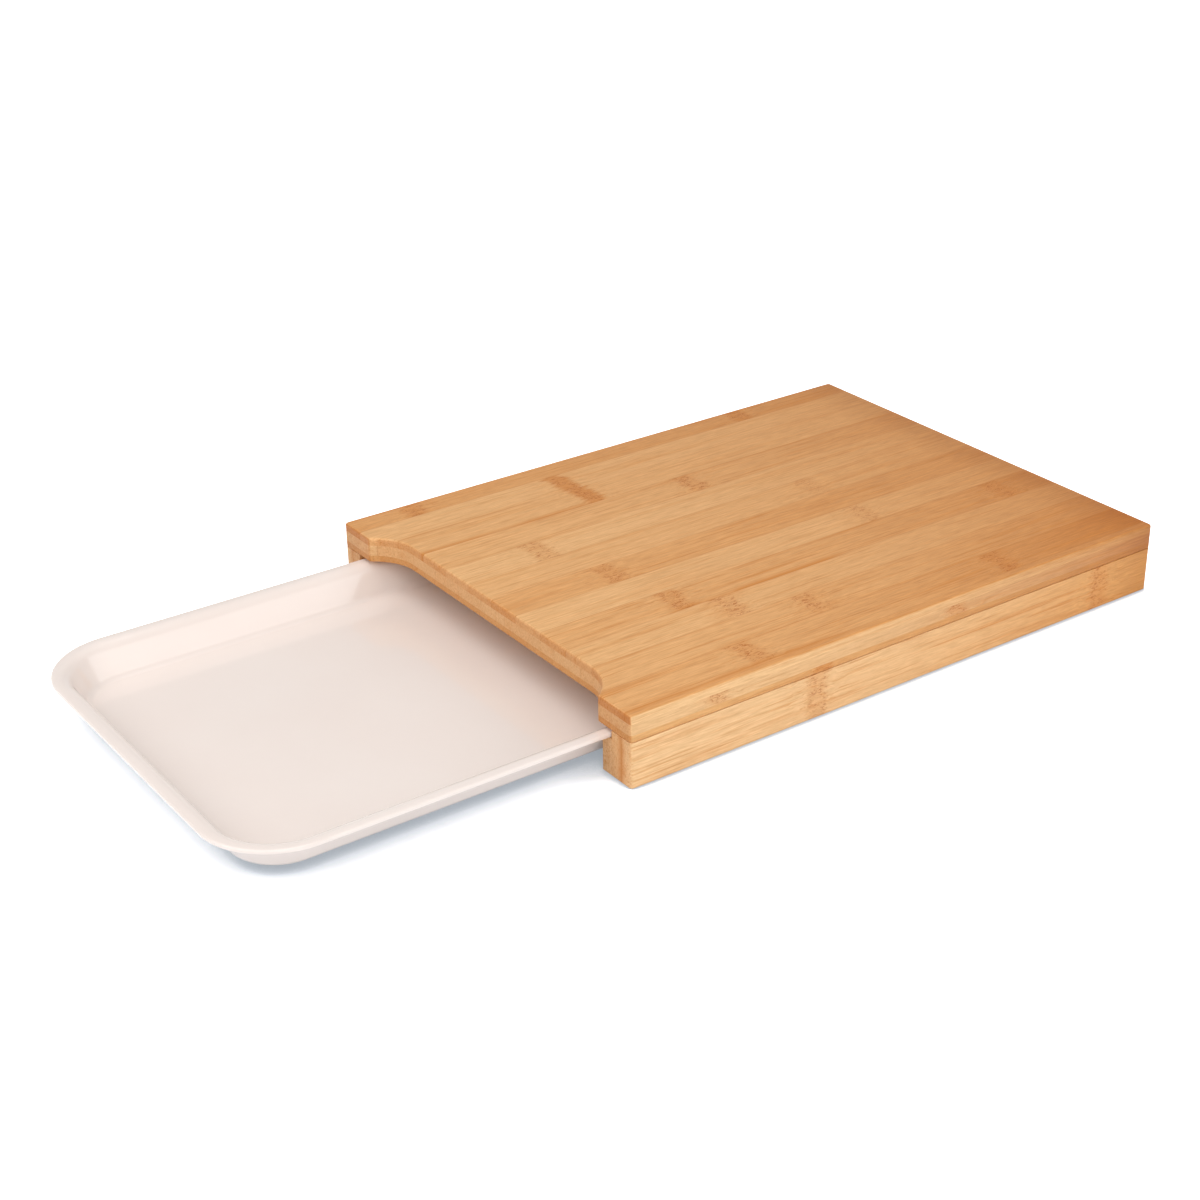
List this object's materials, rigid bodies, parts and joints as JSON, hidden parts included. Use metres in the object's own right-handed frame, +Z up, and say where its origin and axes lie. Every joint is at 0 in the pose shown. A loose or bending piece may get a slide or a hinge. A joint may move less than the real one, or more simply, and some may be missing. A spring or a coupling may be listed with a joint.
{
  "type": "cutting board with tray",
  "caption": "Laminated bamboo cutting board on side rails, with a wide scrap cut-out at one end and a moulded tray that slides out below it.",
  "frame": {"origin": "on the surface that the board stands on, at the middle of the whole with its tray pulled out as at rest", "axes": "+X runs along the grain from the end where the tray comes out to the back, +Z is up"},
  "size_m": [0.589, 0.29, 0.0425],
  "materials": {
    "bamboo_top": "oiled",
    "bamboo_core": "oiled",
    "bamboo_bottom": "oiled",
    "bamboo_rail": "oiled",
    "tray_gloss": "gloss"
  },
  "bodies": {
    "board": {"top_strip_01": "bamboo_top", "top_strip_02": "bamboo_top", "top_strip_03": "bamboo_top", "top_strip_04": "bamboo_top", "top_strip_05": "bamboo_top", "top_strip_06": "bamboo_top", "top_strip_07": "bamboo_top", "top_strip_08": "bamboo_top", "top_strip_09": "bamboo_top", "top_strip_10": "bamboo_top", "top_strip_11": "bamboo_top", "top_strip_12": "bamboo_top", "top_strip_13": "bamboo_top", "core_strip_01": "bamboo_core", "core_strip_02": "bamboo_core", "core_strip_03": "bamboo_core", "core_strip_04": "bamboo_core", "core_strip_05": "bamboo_core", "core_strip_06": "bamboo_core", "core_strip_07": "bamboo_core", "core_strip_08": "bamboo_core", "core_strip_09": "bamboo_core", "core_strip_10": "bamboo_core", "core_strip_11": "bamboo_core", "core_strip_12": "bamboo_core", "core_strip_13": "bamboo_core", "bottom_strip_01": "bamboo_bottom", "bottom_strip_02": "bamboo_bottom", "bottom_strip_03": "bamboo_bottom", "bottom_strip_04": "bamboo_bottom", "bottom_strip_05": "bamboo_bottom", "bottom_strip_06": "bamboo_bottom", "bottom_strip_07": "bamboo_bottom", "bottom_strip_08": "bamboo_bottom", "bottom_strip_09": "bamboo_bottom", "bottom_strip_10": "bamboo_bottom", "bottom_strip_11": "bamboo_bottom", "bottom_strip_12": "bamboo_bottom", "bottom_strip_13": "bamboo_bottom", "left_rail_outer": "bamboo_rail", "left_rail_middle": "bamboo_rail", "left_rail_ledge": "bamboo_rail", "right_rail_outer": "bamboo_rail", "right_rail_middle": "bamboo_rail", "right_rail_ledge": "bamboo_rail", "back_rail_inner": "bamboo_rail", "back_rail_middle": "bamboo_rail", "back_rail_outer": "bamboo_rail"},
    "tray": {"tray": "tray_gloss"}
  },
  "joints": [
    {"name": "tray_slide", "type": "slide", "parent": "board", "child": "tray", "axis": [-1, 0, 0], "range_m": [-0.209, 0.149]}
  ]
}
